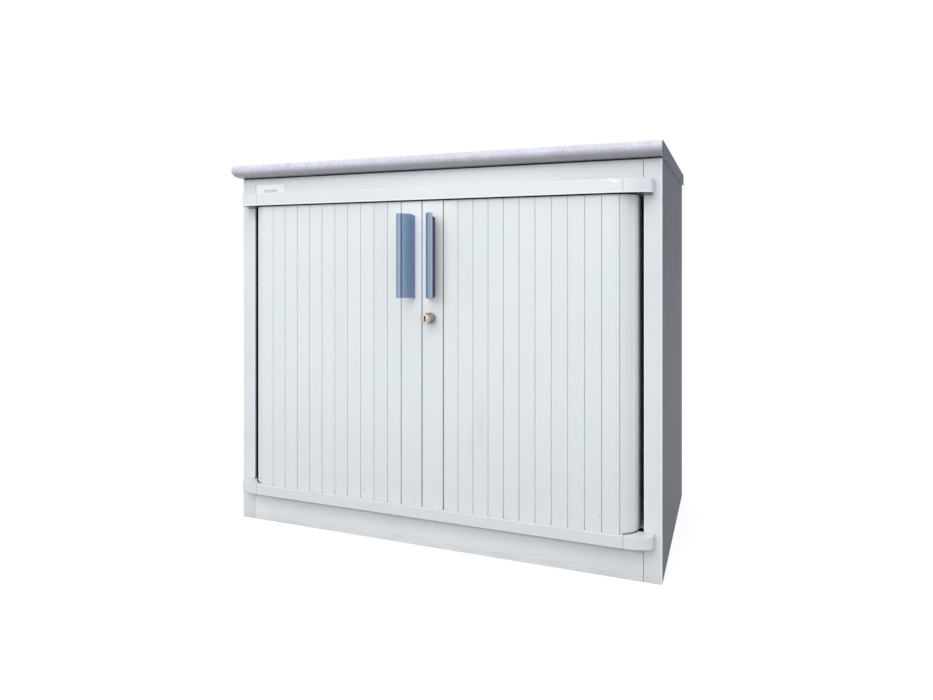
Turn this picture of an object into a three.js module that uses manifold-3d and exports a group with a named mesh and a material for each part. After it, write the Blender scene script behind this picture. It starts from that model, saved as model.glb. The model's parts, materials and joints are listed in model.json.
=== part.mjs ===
// A desk-high storage cabinet whose two slatted curtains slide apart and store along its sides.
// Sizes are in millimetres, +Z is up and the front faces -Y.
// The origin is on the floor, under the centre of the whole cabinet with its handles.
import * as THREE from "three";
import { mergeVertices } from "three/addons/utils/BufferGeometryUtils.js";
import Module from "manifold-3d";

const wasm = await Module();
wasm.setup();

// Fits that pieces share
const fitGap = 0.3;
const runClearance = 0.5;
const cutOverrun = 5;

// Curtain
const leadWidth = 42;
const meetingGap = 0.8;
const slatPitch = 28;
const slatThickness = 8;
const slatGap = 0.4;
const slatChamfer = 0.8;
const flatSlatCount = 10;
const cornerSlatCount = 3;
const cornerLead = 16;
const cornerOuterRadius = 40;
const doorProud = 25;
const tongueThickness = 2.4;
const tongueReach = 3;
const slotClearance = 0.4;
const cornerSteps = 12;

// Carcass
const slotWidth = 8;
const postWidth = 29;
const postDepth = 11;
const postLipDepth = 2;
const carcassDepth = 458;
const overallHeight = 715;
const sideThickness = 18;
const backThickness = 8;
const baseThickness = 18;
const topPanelThickness = 18;
const plinthThickness = 18;
const fasciaThickness = 18;
const plinthReveal = 61;
const fasciaReveal = 33.5;

// Track rails and their corner caps
const bottomRailHeight = 21;
const topRailHeight = 23;
const railProud = 32;
const grooveDepth = 10.5;
const capOffset = 19;
const capLength = 45.5;
const capFaceRadius = 85;
const capCornerSize = 5;
const capSteps = 12;
const trackEndInset = 40;

// Worktop
const worktopThickness = 22.5;
const worktopSideOverhang = 3.5;
const worktopNoseProud = 31;
const shadowGap = 3;
const noseSteps = 16;

// Inner liners, shelf and shelf pins
const linerThickness = 16;
const linerRunGap = 2;
const linerSetback = 8;
const shelfThickness = 18;
const shelfSetback = 20;
const lowerClearHeight = 270;
const pinRadius = 2.5;
const pinHoleClearance = 0.2;
const pinSeatDepth = 9;
const pinReach = 8;
const frontPinInset = 60;
const backPinInset = 60;
const pinSides = 16;

// Handles, measured from the meeting line and out from the door face
const handleLength = 150;
const handleDrop = 25;
const handleBaseInner = 13.6;
const handleBaseWidth = 12.4;
const handleReach = 34.7;
const handleLean = 10.8;
const lipStepDepth = 1.8;
const lipStepWidth = 1.9;
const lipWidth = 8.4;
const lipRound = 1.2;
const lipThickness = 4.2;
const recessDepth = 8;
const handleSteps = 10;
const faceAcrossShare = 0.12;
const faceOutShare = 0.72;

// Lock on the right curtain
const lockInset = 18;
const lockDrop = 36;
const barrelRadius = 8;
const barrelReach = 28.5;
const barrelTail = 4.5;
const barrelChamfer = 1;
const collarRadius = 9.4;
const collarLength = 15;
const collarRidges = 28;
const ridgeDepth = 0.5;
const plugRadius = 5.2;
const plugInset = 0.6;
const plugTail = 0.5;
const keySlotWidth = 2.4;
const keySlotHeight = 8;
const keySlotDepth = 9;
const lockSides = 40;

// Hook behind the lock, and the keeper that it catches on the left curtain
const hookThickness = 2.5;
const hookHalfWidth = 7;
const hookLength = 34;
const hookPinRadius = 26;
const keeperPinRadius = 2.5;
const keeperPinClearance = 0.8;
const keeperPinOverreach = 1.2;
const keeperPlateThickness = 2;
const keeperPlateWidth = 17;
const keeperPlateHeight = 32;
const keeperPlateInset = 2;
const keeperSides = 20;

// Levels
const worktopLow = overallHeight - worktopThickness;
const frontTop = worktopLow - shadowGap;
const topRailHigh = frontTop - fasciaReveal;
const topRailLow = topRailHigh - topRailHeight;
const bottomRailLow = plinthReveal;
const bottomRailHigh = bottomRailLow + bottomRailHeight;
const baseLow = bottomRailHigh - baseThickness;
const topPanelHigh = topRailLow + topPanelThickness;
const lowerGrooveFloor = bottomRailHigh - grooveDepth;
const upperGrooveFloor = topRailLow + grooveDepth;
const slatLow = lowerGrooveFloor + runClearance;
const slatHigh = upperGrooveFloor - runClearance;
const shelfLow = bottomRailHigh + lowerClearHeight;
const handleLow = topRailLow - handleDrop - handleLength;
const lockHeight = handleLow - lockDrop;

// Places seen from above, with the posts' front face at y 0 before the whole is moved to its origin
const slatHalf = slatThickness / 2;
const cornerX = leadWidth + flatSlatCount * slatPitch + cornerLead;
const cornerY = cornerOuterRadius - doorProud;
const cornerMidRadius = cornerOuterRadius - slatHalf;
const cornerArc = (cornerMidRadius * Math.PI) / 2;
const postInner = cornerX + cornerOuterRadius + slotWidth;
const halfWidth = postInner + postWidth;
const sideInner = halfWidth - sideThickness;
const backInner = carcassDepth - backThickness;
const linerOuter = cornerX + cornerOuterRadius - slatThickness - linerRunGap;
const linerInner = linerOuter - linerThickness;
const trackEnd = cornerX + cornerArc + backInner - trackEndInset - cornerY;
const stileBack = slatThickness - doorProud;
const handleFront = doorProud + fitGap + handleReach;

// Finishes
const boardFinish = { color: 0xdde1e4, roughness: 0.55, metalness: 0 };
const worktopFinish = { color: 0xcfcfda, roughness: 0.5, metalness: 0 };
const sideFinish = { color: 0x6a6c76, roughness: 0.3, metalness: 0 };
const railFinish = { color: 0xe2e6e7, roughness: 0.42, metalness: 0 };
const slatFinish = { color: 0xdfe4e7, roughness: 0.42, metalness: 0 };
const handleFinish = { color: 0x6f84ad, roughness: 0.35, metalness: 0 };
const lockFinish = { color: 0xb5aca6, roughness: 0.3, metalness: 1 };
const hookFinish = { color: 0x9b9b98, roughness: 0.4, metalness: 1 };

const cabinet = new THREE.Group();
cabinet.position.y = (handleFront - carcassDepth) / 2;

// Six times the volume that a merged geometry's triangles enclose
function enclosed(geometry) {
  const place = geometry.getAttribute("position");
  const corner = (n) => new THREE.Vector3().fromBufferAttribute(place, geometry.index.getX(n));
  let sum = 0;
  for (let n = 0; n < geometry.index.count; n += 3) {
    sum += corner(n).dot(corner(n + 1).cross(corner(n + 2)));
  }
  return sum;
}

// The same geometry with every triangle turned over
function turnedOver(geometry) {
  const indices = Array.from(geometry.index.array);
  for (let n = 0; n < indices.length; n += 3) {
    [indices[n], indices[n + 1]] = [indices[n + 1], indices[n]];
  }
  geometry.setIndex(indices);
  return geometry;
}

// One closed body with shared vertices and its faces pointing out
function sealed(geometry) {
  const bare = new THREE.BufferGeometry();
  bare.setAttribute("position", geometry.getAttribute("position"));
  bare.setIndex(geometry.index);
  const merged = mergeVertices(bare);
  const kept = [];
  for (let n = 0; n < merged.index.count; n += 3) {
    const [a, b, c] = [0, 1, 2].map((k) => merged.index.getX(n + k));
    if (a !== b && b !== c && c !== a) {
      kept.push(a, b, c);
    }
  }
  merged.setIndex(kept);
  return enclosed(merged) < 0 ? turnedOver(merged) : merged;
}

// The left-hand twin of a right-hand geometry
function mirrored(geometry) {
  return turnedOver(geometry.clone().scale(-1, 1, 1));
}

function solidOf(geometry) {
  const vertProperties = new Float32Array(geometry.getAttribute("position").array);
  const triVerts = new Uint32Array(geometry.index.array);
  return new wasm.Manifold(new wasm.Mesh({ numProp: 3, vertProperties, triVerts }));
}

function geometryOf(solid) {
  const mesh = solid.getMesh();
  const geometry = new THREE.BufferGeometry();
  geometry.setAttribute("position", new THREE.BufferAttribute(mesh.vertProperties, 3));
  geometry.setIndex(Array.from(mesh.triVerts));
  return geometry;
}

function cut(geometry, ...tools) {
  const left = tools.reduce((solid, tool) => solid.subtract(solidOf(tool)), solidOf(geometry));
  return geometryOf(left);
}

function joined(geometry, other) {
  return geometryOf(solidOf(geometry).add(solidOf(other)));
}

// A block between two opposite corners
function block(low, high) {
  const size = high.map((value, n) => value - low[n]);
  const middle = high.map((value, n) => (value + low[n]) / 2);
  return sealed(new THREE.BoxGeometry(...size).translate(...middle));
}

// An outline seen from above, raised from one level to another
function uprightPrism(outline, low, high, curveSegments = 1) {
  const raised = new THREE.ExtrudeGeometry(outline, {
    depth: high - low,
    bevelEnabled: false,
    curveSegments,
  });
  return sealed(raised.translate(0, 0, low));
}

// An outline in y and z, drawn from one x to another
function crossPrism(outline, from, to, curveSegments = 1) {
  const drawn = new THREE.ExtrudeGeometry(outline, {
    depth: to - from,
    bevelEnabled: false,
    curveSegments,
  });
  const turn = new THREE.Matrix4().set(0, 0, 1, from, 1, 0, 0, 0, 0, 1, 0, 0, 0, 0, 0, 1);
  return sealed(drawn.applyMatrix4(turn));
}

// An outline in x and z, drawn from one y back to another
function depthPrism(outline, front, back, curveSegments = 1) {
  const drawn = new THREE.ExtrudeGeometry(outline, {
    depth: back - front,
    bevelEnabled: false,
    curveSegments,
  });
  const turn = new THREE.Matrix4().set(1, 0, 0, 0, 0, 0, -1, back, 0, 1, 0, 0, 0, 0, 0, 1);
  return sealed(drawn.applyMatrix4(turn));
}

// A regular outline of a round bar, with a corner at its top
function roundOutline(x, y, radius, sides) {
  const angles = Array.from({ length: sides }, (_, n) => (n * 2 * Math.PI) / sides);
  return new THREE.Shape(
    angles.map((a) => new THREE.Vector2(x + radius * Math.sin(a), y + radius * Math.cos(a)))
  );
}

function pointsShape(points) {
  return new THREE.Shape(points.map(([x, y]) => new THREE.Vector2(x, y)));
}

// A place on the curtain's run: along its middle from the meeting line, and out towards its face
function runPoint(along, out) {
  const turn = THREE.MathUtils.clamp((along - cornerX) / cornerMidRadius, 0, Math.PI / 2);
  const onFront = Math.min(along, cornerX);
  const onSide = Math.max(along - cornerX - cornerArc, 0);
  const radius = cornerMidRadius + out;
  return new THREE.Vector2(
    onFront + radius * Math.sin(turn),
    cornerY - radius * Math.cos(turn) + onSide
  );
}

const cornerStops = Array.from(
  { length: cornerSteps + 1 },
  (_, n) => cornerX + (cornerArc * n) / cornerSteps
);

// An outline given along the run, with extra points where it goes round the corner
function runShape(corners) {
  const outline = corners.flatMap(([along, out], n) => {
    const [nextAlong, nextOut] = corners[(n + 1) % corners.length];
    const stops = cornerStops.filter((stop) => (stop - along) * (stop - nextAlong) < 0);
    if (nextAlong < along) {
      stops.reverse();
    }
    const outAt = (stop) => out + ((nextOut - out) * (stop - along)) / (nextAlong - along);
    return [runPoint(along, out), ...stops.map((stop) => runPoint(stop, outAt(stop)))];
  });
  return new THREE.Shape(outline);
}

// One slat, with a tongue on its outer edge and a slot in its inner edge where it has them
function slatGeometry(start, end, hasSlot, hasTongue) {
  const tongueHalf = tongueThickness / 2;
  const slotHalf = tongueHalf + slotClearance;
  const slotEnd = start + tongueReach + slotClearance - slatGap;
  const tongueEnd = end + tongueReach;
  const tongue = [
    [end, -tongueHalf],
    [tongueEnd, -tongueHalf],
    [tongueEnd, tongueHalf],
    [end, tongueHalf],
  ];
  const slot = [
    [start, slotHalf],
    [slotEnd, slotHalf],
    [slotEnd, -slotHalf],
    [start, -slotHalf],
  ];
  const corners = [
    [start, -slatHalf],
    [end, -slatHalf],
    ...(hasTongue ? tongue : []),
    [end, slatHalf - slatChamfer],
    [end - slatChamfer, slatHalf],
    [start + slatChamfer, slatHalf],
    [start, slatHalf - slatChamfer],
    ...(hasSlot ? slot : []),
  ];
  return uprightPrism(runShape(corners), slatLow, slatHigh);
}

// The space that the curtain runs in, on the right and on the left
function trackCuts(low, high) {
  const half = slatHalf + runClearance;
  const run = runShape([
    [-cutOverrun, -half],
    [trackEnd, -half],
    [trackEnd, half],
    [-cutOverrun, half],
  ]);
  const right = uprightPrism(run, low, high);
  return [right, mirrored(right)];
}

function addPart(name, geometry, finish) {
  const mesh = new THREE.Mesh(geometry, new THREE.MeshStandardMaterial(finish));
  mesh.name = name;
  cabinet.add(mesh);
}

function addPair(name, geometry, finish) {
  addPart(`right_${name}`, geometry, finish);
  addPart(`left_${name}`, mirrored(geometry), finish);
}

function addCarcass() {
  const sideTop = worktopLow - fitGap;
  const sideFront = postLipDepth + fitGap;
  const legOuter = sideInner - fitGap;
  const frontInner = postInner - fitGap;
  const panelBack = backInner - fitGap;
  const postBack = postDepth + fitGap;
  addPair(
    "side_panel",
    block([sideInner, sideFront, 0], [halfWidth, carcassDepth, sideTop]),
    sideFinish
  );
  addPart(
    "back_panel",
    block([-legOuter, backInner, 0], [legOuter, carcassDepth, sideTop]),
    boardFinish
  );
  const post = pointsShape([
    [postInner, 0],
    [halfWidth, 0],
    [halfWidth, postLipDepth],
    [legOuter, postLipDepth],
    [legOuter, postDepth],
    [postInner, postDepth],
  ]);
  addPair("front_post", uprightPrism(post, 0, frontTop), boardFinish);
  const panel = pointsShape([
    [-frontInner, 0],
    [frontInner, 0],
    [frontInner, postBack],
    [legOuter, postBack],
    [legOuter, panelBack],
    [-legOuter, panelBack],
    [-legOuter, postBack],
    [-frontInner, postBack],
  ]);
  addPart(
    "base_panel",
    cut(
      uprightPrism(panel, baseLow, bottomRailHigh),
      ...trackCuts(lowerGrooveFloor, bottomRailHigh + cutOverrun)
    ),
    boardFinish
  );
  addPart(
    "top_panel",
    cut(
      uprightPrism(panel, topRailLow, topPanelHigh),
      ...trackCuts(topRailLow - cutOverrun, upperGrooveFloor)
    ),
    boardFinish
  );
  addPart(
    "plinth_board",
    block([-frontInner, 0, 0], [frontInner, plinthThickness, baseLow - fitGap]),
    boardFinish
  );
  addPart(
    "top_fascia",
    block([-frontInner, 0, topPanelHigh + fitGap], [frontInner, fasciaThickness, frontTop]),
    boardFinish
  );
}

// The flat top with its full round front edge
function addWorktop() {
  const noseRadius = worktopThickness / 2;
  const noseX = noseRadius - worktopNoseProud;
  const outline = new THREE.Shape();
  outline.moveTo(carcassDepth, worktopLow);
  outline.lineTo(carcassDepth, overallHeight);
  outline.lineTo(noseX, overallHeight);
  outline.absarc(noseX, worktopLow + noseRadius, noseRadius, Math.PI / 2, Math.PI * 1.5, false);
  outline.closePath();
  const reach = halfWidth + worktopSideOverhang;
  addPart("worktop", crossPrism(outline, -reach, reach, noseSteps), worktopFinish);
}

// A corner cap whose face bends back gently from the rail's and then turns sharply to the post
function capGeometry(low, high) {
  const inner = cornerX + capOffset + fitGap / 2;
  const outer = cornerX + capOffset + capLength;
  const centreY = capFaceRadius - railProud;
  const bend = Math.asin((outer - capCornerSize - inner) / capFaceRadius);
  const bendEndY = centreY - capFaceRadius * Math.cos(bend);
  const outline = new THREE.Shape();
  outline.moveTo(inner, -fitGap);
  outline.lineTo(inner, -railProud);
  outline.absarc(inner, centreY, capFaceRadius, -Math.PI / 2, bend - Math.PI / 2, false);
  outline.quadraticCurveTo(
    outer,
    bendEndY + capCornerSize * Math.tan(bend),
    outer,
    bendEndY + capCornerSize * 2
  );
  outline.lineTo(outer, -fitGap);
  outline.closePath();
  return uprightPrism(outline, low, high, capSteps);
}

function addTrackRails() {
  const railEnd = cornerX + capOffset - fitGap / 2;
  const lowerCuts = trackCuts(lowerGrooveFloor, bottomRailHigh + cutOverrun);
  const upperCuts = trackCuts(topRailLow - cutOverrun, upperGrooveFloor);
  const rail = (low, high) => block([-railEnd, -railProud, low], [railEnd, -fitGap, high]);
  addPart("bottom_track_rail", cut(rail(bottomRailLow, bottomRailHigh), ...lowerCuts), railFinish);
  addPart("top_track_rail", cut(rail(topRailLow, topRailHigh), ...upperCuts), railFinish);
  const bottomCap = cut(capGeometry(bottomRailLow, bottomRailHigh), lowerCuts[0]);
  const topCap = cut(capGeometry(topRailLow, topRailHigh), upperCuts[0]);
  addPair("bottom_rail_cap", bottomCap, railFinish);
  addPair("top_rail_cap", topCap, railFinish);
}

// The false sides that hide the stored curtain, the shelf and the pins that carry it
function addInterior() {
  const linerBack = backInner - fitGap;
  const pinHeight = shelfLow - fitGap - pinRadius;
  const pinPlaces = { front: linerSetback + frontPinInset, back: linerBack - backPinInset };
  const bar = (y, radius, from, to) =>
    crossPrism(roundOutline(y, pinHeight, radius, pinSides), from, to);
  const holes = Object.values(pinPlaces).map((y) =>
    bar(y, pinRadius + pinHoleClearance, linerInner - cutOverrun, linerInner + pinSeatDepth)
  );
  const liner = block(
    [linerInner, linerSetback, bottomRailHigh + fitGap],
    [linerOuter, linerBack, topRailLow - fitGap]
  );
  addPair("inner_liner", cut(liner, ...holes), boardFinish);
  Object.entries(pinPlaces).forEach(([place, y]) => {
    const pin = bar(y, pinRadius, linerInner - pinReach, linerInner + pinSeatDepth - fitGap);
    addPair(`${place}_shelf_pin`, pin, hookFinish);
  });
  const shelfReach = linerInner - fitGap;
  addPart(
    "shelf",
    block([-shelfReach, shelfSetback, shelfLow], [shelfReach, linerBack, shelfLow + shelfThickness]),
    boardFinish
  );
}

// The slats beyond the lead stile: flat ones, those round the corner and the last one
function addSlats() {
  const slatSpan = (n) => [
    leadWidth + n * slatPitch,
    leadWidth + (n + 1) * slatPitch - slatGap,
  ];
  for (let n = 0; n < flatSlatCount; n += 1) {
    const number = String(n + 1).padStart(2, "0");
    addPair(`slat_${number}`, slatGeometry(...slatSpan(n), true, true), slatFinish);
  }
  for (let n = 0; n < cornerSlatCount; n += 1) {
    const span = slatSpan(flatSlatCount + n);
    addPair(`corner_slat_${n + 1}`, slatGeometry(...span, true, true), slatFinish);
  }
  const tailSpan = slatSpan(flatSlatCount + cornerSlatCount);
  addPair("tail_slat", slatGeometry(...tailSpan, true, false), slatFinish);
}

function addLeadStiles() {
  const stile = slatGeometry(meetingGap / 2, leadWidth - slatGap, false, true);
  const barrelHole = depthPrism(
    roundOutline(lockInset, lockHeight, barrelRadius + fitGap, lockSides),
    -doorProud - cutOverrun,
    stileBack + cutOverrun
  );
  addPart("right_lead_stile", cut(stile, barrelHole), slatFinish);
  addPart("left_lead_stile", mirrored(stile), slatFinish);
}

// A pull with a curved face towards the meeting line and a finger recess on its other side
function addHandles() {
  const baseY = -doorProud - fitGap;
  const baseOuter = handleBaseInner + handleBaseWidth;
  const lipInner = handleBaseInner + handleLean;
  const lipStart = lipInner + lipStepWidth;
  const lipOuter = lipStart + lipWidth;
  const faceTop = handleReach - lipStepDepth;
  const lipBack = handleReach - lipThickness;
  const outline = new THREE.Shape();
  outline.moveTo(handleBaseInner, baseY);
  outline.quadraticCurveTo(
    handleBaseInner + handleLean * faceAcrossShare,
    baseY - faceTop * faceOutShare,
    lipInner,
    baseY - faceTop
  );
  outline.lineTo(lipStart, baseY - handleReach);
  outline.lineTo(lipOuter - lipRound, baseY - handleReach);
  outline.quadraticCurveTo(
    lipOuter,
    baseY - handleReach,
    lipOuter,
    baseY - handleReach + lipRound
  );
  outline.lineTo(lipOuter, baseY - lipBack);
  outline.quadraticCurveTo(
    (lipOuter + baseOuter) / 2 - recessDepth * 2,
    baseY - lipBack / 2,
    baseOuter,
    baseY
  );
  outline.closePath();
  const handle = uprightPrism(outline, handleLow, handleLow + handleLength, handleSteps);
  addPair("handle", handle, handleFinish);
}

// A ring turned about the lock's line, from a list of radius and y pairs
function lockRing(profile) {
  const points = profile.map(([radius, y]) => new THREE.Vector2(radius, y));
  const ring = new THREE.LatheGeometry([...points, points[0]], lockSides);
  return sealed(ring.translate(lockInset, 0, lockHeight));
}

function collarOutline() {
  const radii = [collarRadius - ridgeDepth, collarRadius];
  const points = Array.from({ length: collarRidges * 2 }, (_, n) => {
    const angle = (n * Math.PI) / collarRidges;
    const radius = radii[n % 2];
    return [lockInset + radius * Math.sin(angle), lockHeight + radius * Math.cos(angle)];
  });
  return pointsShape(points);
}

function addLock() {
  const face = -doorProud - barrelReach;
  const bore = plugRadius + fitGap;
  const barrelBack = stileBack + barrelTail;
  const barrel = lockRing([
    [bore, face],
    [barrelRadius - barrelChamfer, face],
    [barrelRadius, face + barrelChamfer],
    [barrelRadius, barrelBack],
    [bore, barrelBack],
  ]);
  addPart("lock_barrel", barrel, lockFinish);
  const collarBack = -doorProud - fitGap;
  const collar = depthPrism(collarOutline(), collarBack - collarLength, collarBack);
  const barrelPassage = depthPrism(
    roundOutline(lockInset, lockHeight, barrelRadius + fitGap, lockSides),
    collarBack - collarLength - cutOverrun,
    collarBack + cutOverrun
  );
  addPart("lock_collar", cut(collar, barrelPassage), lockFinish);
  const plugFront = face + plugInset;
  const plugBack = barrelBack + plugTail;
  const plug = depthPrism(
    roundOutline(lockInset, lockHeight, plugRadius, lockSides),
    plugFront,
    plugBack
  );
  const keySlot = block(
    [lockInset - keySlotWidth / 2, plugFront - cutOverrun, lockHeight - keySlotHeight / 2],
    [lockInset + keySlotWidth / 2, plugFront + keySlotDepth, lockHeight + keySlotHeight / 2]
  );
  addPart("lock_plug", cut(plug, keySlot), lockFinish);
  addHook(plugBack + fitGap);
}

// The hook hangs down when open and swings a quarter turn to catch the keeper's pin
function addHook(hookFront) {
  const hookBack = hookFront + hookThickness;
  const hook = new THREE.Shape();
  hook.moveTo(lockInset + hookHalfWidth, lockHeight);
  hook.absarc(lockInset, lockHeight, hookHalfWidth, 0, Math.PI, false);
  hook.lineTo(lockInset - hookHalfWidth, lockHeight - hookLength);
  hook.lineTo(lockInset + hookHalfWidth, lockHeight - hookLength);
  hook.closePath();
  const reach = keeperPinRadius + keeperPinClearance;
  const mouthEnd = -Math.PI / 2 + reach / hookPinRadius;
  const mouth = new THREE.Shape();
  mouth.absarc(lockInset, lockHeight, hookPinRadius + reach, -Math.PI, mouthEnd, false);
  mouth.absarc(lockInset, lockHeight, hookPinRadius - reach, mouthEnd, -Math.PI, true);
  mouth.closePath();
  const plate = depthPrism(hook, hookFront, hookBack, capSteps);
  const notch = depthPrism(mouth, hookFront - cutOverrun, hookBack + cutOverrun, lockSides);
  addPart("lock_hook", cut(plate, notch), hookFinish);
  addKeeper(hookBack);
}

function addKeeper(hookBack) {
  const plateFront = stileBack + fitGap;
  const plateBack = plateFront + keeperPlateThickness;
  const halfHeight = keeperPlateHeight / 2;
  const plate = block(
    [-keeperPlateInset - keeperPlateWidth, plateFront, lockHeight - halfHeight],
    [-keeperPlateInset, plateBack, lockHeight + halfHeight]
  );
  const pin = depthPrism(
    roundOutline(lockInset - hookPinRadius, lockHeight, keeperPinRadius, keeperSides),
    plateFront + keeperPlateThickness / 2,
    hookBack + keeperPinOverreach
  );
  addPart("lock_keeper", joined(plate, pin), hookFinish);
}

addCarcass();
addWorktop();
addTrackRails();
addInterior();
addSlats();
addLeadStiles();
addHandles();
addLock();

export default cabinet;
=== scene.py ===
import bpy
import bmesh
import json
import math
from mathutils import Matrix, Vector


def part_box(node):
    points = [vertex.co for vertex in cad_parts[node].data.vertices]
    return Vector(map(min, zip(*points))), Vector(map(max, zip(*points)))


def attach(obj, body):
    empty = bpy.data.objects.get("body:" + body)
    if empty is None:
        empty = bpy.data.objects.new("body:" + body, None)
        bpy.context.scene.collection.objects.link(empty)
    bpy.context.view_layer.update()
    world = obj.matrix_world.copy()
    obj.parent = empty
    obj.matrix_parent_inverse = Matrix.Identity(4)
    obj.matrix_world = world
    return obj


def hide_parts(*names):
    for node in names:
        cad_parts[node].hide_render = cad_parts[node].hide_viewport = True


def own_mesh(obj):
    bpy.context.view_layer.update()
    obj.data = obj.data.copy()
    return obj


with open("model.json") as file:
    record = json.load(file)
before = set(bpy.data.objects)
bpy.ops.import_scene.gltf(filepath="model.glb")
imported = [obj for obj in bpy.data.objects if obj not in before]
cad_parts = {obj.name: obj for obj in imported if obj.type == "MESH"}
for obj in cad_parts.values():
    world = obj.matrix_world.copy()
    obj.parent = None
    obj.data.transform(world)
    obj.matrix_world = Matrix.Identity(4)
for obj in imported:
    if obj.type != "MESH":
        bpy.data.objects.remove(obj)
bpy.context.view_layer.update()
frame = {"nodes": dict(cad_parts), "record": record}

mm = 0.001
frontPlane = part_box("left_front_post")[0].y  # depths are counted back from the posts' front face
scene = bpy.context.scene
scene.view_settings.view_transform = "Standard"
bodyOf = {
    node: body
    for body, nodes in frame["record"]["behaviour"]["bodies"].items()
    for node in nodes
}
print("frame loaded,", len(bodyOf), "nodes")

# The camera stands level, a little right of the cabinet, and its picture is cropped low
viewpoint = {
    "spot": (0.5213, -1.3466, 0.5216),
    "turn": 21.2,
    "lens": 26.51,
    "sensor": 36,
    "shiftUp": -0.0943,
    "clip": (0.05, 200),
}


def addCamera():
    data = bpy.data.cameras.new("camera")
    data.sensor_width = viewpoint["sensor"]
    data.lens = viewpoint["lens"]
    data.shift_y = viewpoint["shiftUp"]
    data.clip_start, data.clip_end = viewpoint["clip"]
    camera = bpy.data.objects.new("camera", data)
    camera.location = viewpoint["spot"]
    camera.rotation_euler = (math.radians(90), 0, math.radians(viewpoint["turn"]))
    scene.collection.objects.link(camera)
    scene.camera = camera


addCamera()


def shade(red, green, blue):
    # a colour as a screen shows it, turned into what the shader wants
    parts = [value / 255 for value in (red, green, blue)]
    return tuple(p / 12.92 if p < 0.04045 else ((p + 0.055) / 1.055) ** 2.4 for p in parts) + (1,)


class Wire:
    # one socket in a material, which takes part in sums as a number does
    def __init__(self, paint, socket):
        self.paint = paint
        self.socket = socket

    def other(self, output):
        # another output of the same node
        return Wire(self.paint, self.socket.node.outputs[output])

    def math(self, operation, first, second=0.0):
        return self.paint.add("ShaderNodeMath", {"operation": operation}, {0: first, 1: second})

    def __add__(self, other):
        return self.math("ADD", self, other)

    def __radd__(self, other):
        return self.math("ADD", other, self)

    def __sub__(self, other):
        return self.math("SUBTRACT", self, other)

    def __rsub__(self, other):
        return self.math("SUBTRACT", other, self)

    def __mul__(self, other):
        return self.math("MULTIPLY", self, other)

    def __rmul__(self, other):
        return self.math("MULTIPLY", other, self)

    def __truediv__(self, other):
        return self.math("DIVIDE", self, other)

    def __rtruediv__(self, other):
        return self.math("DIVIDE", other, self)

    def __pow__(self, other):
        return self.math("POWER", self, other)

    def __rpow__(self, other):
        return self.math("POWER", other, self)

    def __gt__(self, other):
        return self.math("GREATER_THAN", self, other)

    def __lt__(self, other):
        return self.math("LESS_THAN", self, other)

    def __abs__(self):
        return self.math("ABSOLUTE", self)

    def arcsine(self):
        return self.math("ARCSINE", self)

    def fraction(self):
        return self.math("FRACT", self)

    def floor(self):
        return self.math("FLOOR", self)

    def atMost(self, other):
        return self.math("MINIMUM", self, other)

    def atLeast(self, other):
        return self.math("MAXIMUM", self, other)

    def partly(self, share):
        # the whole mask at a share of 1, and 1 all over at a share of 0
        return self * share + (1 - share)


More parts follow.
